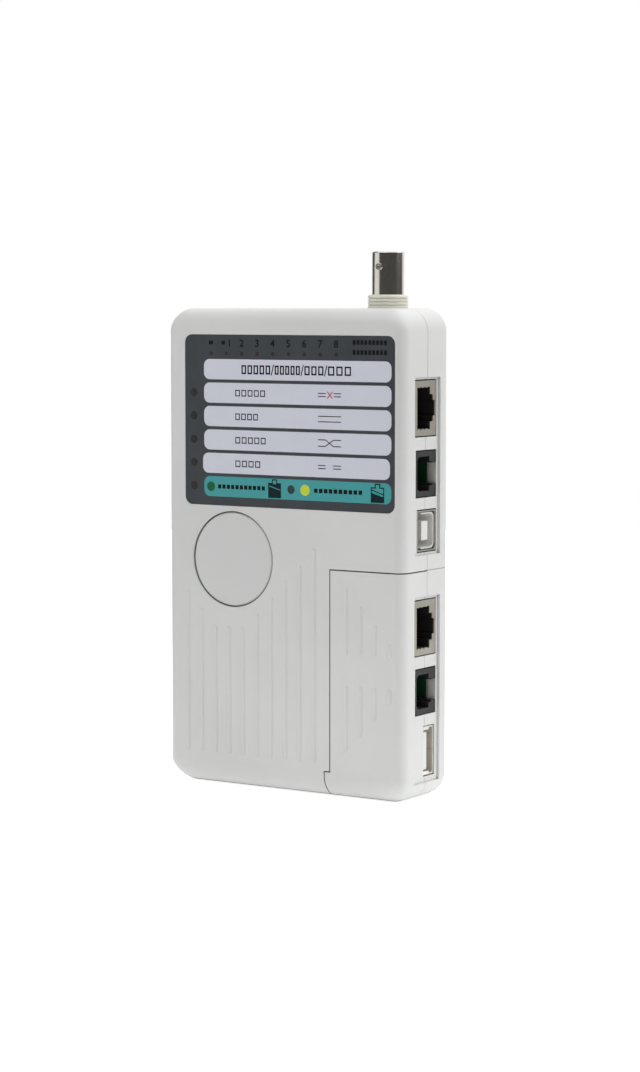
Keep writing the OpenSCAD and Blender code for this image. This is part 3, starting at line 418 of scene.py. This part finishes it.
def numerals():
    """The pin numbers 1 to 8 as one flat mesh."""
    bm = bmesh.new()
    for digit in range(1, 9):
        curve = bpy.data.curves.new("digit", "FONT")
        curve.body = str(digit)
        curve.size = 3.1 * MM
        curve.align_x = "CENTER"
        curve.extrude = INK / 2 * MM
        curve.offset = 0.055 * MM
        curve.resolution_u = 6
        holder = bpy.data.objects.new("digit", curve)
        scene.collection.objects.link(holder)
        bpy.context.view_layer.update()
        flat = bpy.data.meshes.new_from_object(holder.evaluated_get(bpy.context.evaluated_depsgraph_get()))
        x = PIN_X + digit * PIN_PITCH + (1.2 if digit == 1 else 0.0)
        for v in flat.vertices:
            v.co = Vector((v.co.x + x * MM, (FRONT - INK / 2) * MM - v.co.z, v.co.y + 133.9 * MM))
        bm.from_mesh(flat)
        bpy.data.objects.remove(holder)
        bpy.data.curves.remove(curve)
        bpy.data.meshes.remove(flat)
    bmesh.ops.remove_doubles(bm, verts=bm.verts, dist=0.0005 * MM)
    bmesh.ops.recalc_face_normals(bm, faces=bm.faces)
    mesh = bpy.data.meshes.new("pin_numbers")
    bm.to_mesh(mesh)
    bm.free()
    return mesh


PIN_X, PIN_PITCH = -25.8, 5.61
black_ink = printed("black_ink", (0.008, 0.008, 0.010), 0.40, sheen=0.12)
row_ink = printed("row_ink", (0.735, 0.750, 0.845), 0.36, 0.012, seed=2.0)
teal_ink = printed("teal_ink", (0.058, 0.375, 0.390), 0.38, 0.03, seed=4.0)



def row_field(i, shift=0.0):
    """Outline of one row of the label."""
    z = row_middle(i)
    return rounded(ROW_LEFT + shift, ROW_RIGHT + shift, z - ROW_H / 2, z + ROW_H / 2, ROW_CORNER)


# the last row is printed a little to the left of the others
fields = [row_field(i) for i in range(ROWS - 1)] + [row_field(ROWS - 1, -0.45)]
film("row_fields", fields, 0, row_ink)
teal = row_middle(ROWS)
film("battery_field", [row_field(ROWS)], 0, teal_ink)
piece("pin_numbers", numerals(), "main_unit", black_ink)

# captions: blocks where words stand
NOTE_LEFT, NOTE_RIGHT, NOTE_H, NOTE_BLOCKS = 24.9, 36.6, 1.35, 9
words = []
for z in (135.5, 132.6):
    words += dashes(NOTE_LEFT, NOTE_RIGHT, z, NOTE_H, NOTE_BLOCKS)
words += [box2(PIN_X - 0.75, PIN_X + 0.75, 134.5, 135.6), box2(-21.9, -20.6, 134.5, 135.6)]
film("panel_captions", words, 0, black_ink)
title = row_middle(0)
words = []
for x0, x1, count in ((-14.6, -4.2, 5), (-2.6, 6.4, 5), (8.0, 14.7, 3), (16.3, 24.3, 3)):
    words += frames(x0, x1, title, 2.7, count, 0.46)
words += [stroke(x - 0.4, title - 1.6, x + 0.4, title + 1.6, 0.34) for x in (-3.4, 7.2, 15.5)]
for i, (x1, count) in enumerate(((-6.1, 5), (-8.7, 4), (-5.9, 5), (-7.9, 4)), start=1):
    words += frames(-16.9, x1, row_middle(i), 1.95, count, 0.31)
film("row_captions", words, 1, black_ink)

# pictograms of a pair of wires: shorted, straight, crossed and open
LINE = 0.26
LEFT, RIGHT = 12.8, 20.85
BREAK_L, BREAK_R = 15.5, 18.3
signs = []
z = row_middle(1)
for dz in (-0.45, 0.45):
    signs += [stroke(LEFT, z + dz, BREAK_L, z + dz, LINE), stroke(BREAK_R, z + dz, RIGHT, z + dz, LINE)]
z = row_middle(2)
signs += [stroke(LEFT, z + dz, RIGHT, z + dz, LINE) for dz in (-0.8, 0.8)]
z = row_middle(3)
for dz in (-0.95, 0.95):
    signs += [stroke(LEFT, z + dz, 15.4, z + dz, LINE), stroke(18.2, z + dz, RIGHT, z + dz, LINE)]
signs += [stroke(15.35, z + 0.95, 18.25, z - 0.95, LINE)]
film("wire_signs", signs, 1, black_ink)
film("wire_sign_crossing", [stroke(15.35, z - 0.95, 18.25, z + 0.95, LINE)], 2, black_ink)
z = row_middle(4)
signs = []
for dz in (-0.45, 0.45):
    signs += [stroke(LEFT, z + dz, 15.4, z + dz, LINE), stroke(18.1, z + dz, RIGHT, z + dz, LINE)]
film("open_sign", signs, 1, black_ink)
z = row_middle(1)
red_ink = printed("red_ink", (0.55, 0.03, 0.03), 0.36, seed=6.0)
film("fault_cross", [stroke(16.05, z - 1.0, 17.85, z + 1.0, 0.3)], 1, red_ink)
film("fault_cross_bar", [stroke(16.05, z + 1.0, 17.85, z - 1.0, 0.3)], 2, red_ink)

# battery row: coloured dots, caption blocks and two battery signs
green_ink = printed("green_ink", (0.004, 0.135, 0.055), 0.36, seed=7.0, sheen=0.3)
window_ink = printed("window_ink", (0.024, 0.050, 0.060), 0.36, seed=8.0, sheen=0.4)
yellow_ink = printed("yellow_ink", (0.66, 0.78, 0.045), 0.36, seed=9.0)
film("good_dot", [round2(-25.9, teal - 0.05, 1.45)], 1, green_ink)
film("dark_dot", [round2(3.2, teal, 1.3)], 1, window_ink)
film("low_dot", [round2(8.2, teal, 1.65)], 1, yellow_ink)
words = dashes(-23.3, -6.2, teal, 1.25, 11) + dashes(11.4, 28.2, teal, 1.25, 10)
film("battery_captions", words, 1, black_ink)


def battery_sign(name, x, fill):
    """Outline of a battery with its terminal; a slanted block is its charge, with a slanted line over it."""
    w, low, high = 2.3, teal - 2.75, teal + 1.75
    edge = 0.34
    lines = [
        box2(x - w, x + w, low, low + edge),
        box2(x - w, x - w + edge, low + edge, high - edge),
        box2(x + w - edge, x + w, low + edge, high - edge),
        box2(x - w, x - 0.6, high - edge, high),
        box2(x + 0.6, x + w, high - edge, high),
        box2(x - 0.95, x - 0.6, high, high + 0.75),
        box2(x + 0.6, x + 0.95, high, high + 0.75),
        box2(x - 0.95, x + 0.95, high + 0.75, high + 1.1),
    ]
    left, right = x - w + edge, x + w - edge
    floor_z, roof_z = low + edge, high - edge
    top = floor_z + (roof_z - floor_z) * fill
    lines.append([(right, top - 0.55), (left, top + 0.55), (left, floor_z), (right, floor_z)])
    if fill > 0.5:
        lines.append([(right, roof_z), (left, roof_z), (left, top + 0.82), (right, top - 0.28)])
    else:
        lines.append(stroke(left, top + 1.45, right, top + 0.15, 0.3))
    film(name, lines, 1, printed(name + "_ink", (0.006, 0.022, 0.025), 0.40, seed=x, sheen=0.15))


battery_sign("full_battery_sign", -2.7, 0.66)
battery_sign("low_battery_sign", 33.5, 0.5)


def windows(name, places, r, rise, material):
    """Low smoked domes on the label, over its lamps."""
    bm = bmesh.new()
    sides, steps = 32, 5
    for x, z in places:
        top = bm.verts.new((x * MM, (FRONT - INK - rise) * MM, z * MM))
        rings = []
        for k in range(1, steps + 1):
            q = k / steps
            y = FRONT - INK - rise * (1 - q * q)
            rings.append([bm.verts.new((a * MM, y * MM, b * MM)) for a, b in round2(x, z, r * q, sides)])
        rings.append([bm.verts.new((a * MM, FRONT * MM, b * MM)) for a, b in round2(x, z, r, sides)])
        for k in range(sides):
            n = (k + 1) % sides
            bm.faces.new((top, rings[0][k], rings[0][n]))
            for inner, outer in zip(rings, rings[1:]):
                bm.faces.new((inner[k], outer[k], outer[n], inner[n]))
        bm.faces.new(rings[-1])
    bmesh.ops.recalc_face_normals(bm, faces=bm.faces)
    mesh = bpy.data.meshes.new(name)
    bm.to_mesh(mesh)
    bm.free()
    mesh.polygons.foreach_set("use_smooth", [len(p.vertices) < 5 for p in mesh.polygons])
    return piece(name, mesh, "main_unit", material)


windows(
    "row_windows",
    [(-32.2, row_middle(i)) for i in range(1, 6)],
    1.3,
    0.06,
    printed("smoked_window", (0.030, 0.028, 0.030), 0.44, 0.10, seed=12.0, sheen=0.3),
)
windows(
    "pin_windows",
    [(PIN_X + k * PIN_PITCH, 131.8) for k in range(9)],
    0.68,
    0.06,
    printed("ruby_window", (0.040, 0.026, 0.028), 0.44, 0.15, seed=14.0, sheen=0.3),
)

# ------------------------------------------------------------------ camera, light and floor

EYE = (0.456524, -0.693141, 0.147757)
YAW, PITCH = math.radians(33.0933), math.radians(4.8932)
camera = bpy.data.objects.new("camera", bpy.data.cameras.new("camera"))
scene.collection.objects.link(camera)
camera.location = EYE
look = Vector((-math.sin(YAW) * math.cos(PITCH), math.cos(YAW) * math.cos(PITCH), -math.sin(PITCH)))
camera.rotation_mode = "QUATERNION"
camera.rotation_quaternion = look.to_track_quat("-Z", "Y")
camera.data.sensor_fit = "AUTO"
camera.data.sensor_width = 36.0
camera.data.lens = 92.47
camera.data.clip_start, camera.data.clip_end = 0.05, 60.0
scene.camera = camera

floor_mesh = bpy.data.meshes.new("floor")
FLOOR_R = 0.95
# just below the tester's flat foot, so that the two faces don't coincide
FLOOR_Z = -0.05 * MM
turns = [math.radians(a) for a in range(0, 360, 3)]
ring = [(FLOOR_R * math.cos(a), FLOOR_R * math.sin(a), FLOOR_Z) for a in turns]
floor_mesh.from_pydata(ring, [], [tuple(range(len(ring)))])
floor = bpy.data.objects.new("floor", floor_mesh)
scene.collection.objects.link(floor)
f = Finish("pale_floor")
f.set(Base_Color=f.mix(f.noise(3.0), (0.79, 0.79, 0.79), (0.81, 0.81, 0.81)), Roughness=0.9)
# the floor glows a little near the object, and enough for the camera to see it white
reach = f.add("ShaderNodeVectorMath", operation="LENGTH")
f.feed(reach.inputs[0], f.place)
near_glow = f.spread(reach.outputs["Value"], 0.07, 0.20, 0.35, 0.0)
seen_glow = f.math("MULTIPLY", f.add("ShaderNodeLightPath").outputs["Is Camera Ray"], 0.8)
f.set(Emission_Color=(1.0, 1.0, 1.0), Emission_Strength=f.math("MAXIMUM", near_glow, seen_glow))
floor_mesh.materials.append(f.material)


def softbox(name, place, aim, size, power):
    light = bpy.data.lights.new(name, "AREA")
    light.shape = "RECTANGLE"
    light.size, light.size_y = size
    light.energy = power
    lamp = bpy.data.objects.new(name, light)
    scene.collection.objects.link(lamp)
    lamp.location = place
    lamp.rotation_mode = "QUATERNION"
    lamp.rotation_quaternion = (Vector(aim) - Vector(place)).to_track_quat("-Z", "Y")
    lamp.visible_camera = False


overhead = bpy.data.objects.new("overhead_light", bpy.data.lights.new("overhead_light", "SUN"))
scene.collection.objects.link(overhead)
overhead.data.energy = 2.15
overhead.data.angle = math.radians(100)
overhead.rotation_mode = "QUATERNION"
overhead.rotation_quaternion = Vector((-0.15, -0.1, -1.0)).to_track_quat("-Z", "Y")
softbox("left_strip", (-0.95, -0.62, 0.16), (0.0, 0.0, 0.12), (0.96, 0.7), 2.0)
softbox("right_light", (1.05, 0.5, 0.65), (0.0, 0.0, 0.08), (0.7, 0.7), 4.8)
softbox("top_light", (-0.02, -0.20, 0.36), (0.0, 0.0, 0.12), (0.26, 0.16), 0.21)

# a white background behind the object and a dim room in front of it; the camera sees white all round
world = bpy.data.worlds.new("studio")
scene.world = world
world.use_nodes = True
tree = world.node_tree
tree.nodes.clear()
out, lit, seen, pick, path, way, back, ramp = (
    tree.nodes.new(kind)
    for kind in (
        "ShaderNodeOutputWorld", "ShaderNodeBackground", "ShaderNodeBackground", "ShaderNodeMixShader",
        "ShaderNodeLightPath", "ShaderNodeTexCoord", "ShaderNodeVectorMath", "ShaderNodeMapRange",
    )
)
back.operation = "DOT_PRODUCT"
back.inputs[1].default_value = (-0.30, 0.95, 0.0)
ramp.interpolation_type = "SMOOTHSTEP"
for name, number in (("From Min", 0.50), ("From Max", 0.90), ("To Min", 0.06), ("To Max", 1.10)):
    ramp.inputs[name].default_value = number
tree.links.new(way.outputs["Generated"], back.inputs[0])
tree.links.new(back.outputs["Value"], ramp.inputs["Value"])
tree.links.new(ramp.outputs["Result"], lit.inputs["Strength"])
tree.links.new(path.outputs["Is Camera Ray"], pick.inputs[0])
tree.links.new(lit.outputs[0], pick.inputs[1])
tree.links.new(seen.outputs[0], pick.inputs[2])
tree.links.new(pick.outputs[0], out.inputs["Surface"])
lit.inputs["Color"].default_value = seen.inputs["Color"].default_value = (1.0, 1.0, 1.0, 1.0)
seen.inputs["Strength"].default_value = 1.0

scene.view_settings.view_transform = "Standard"
scene.view_settings.look = "None"
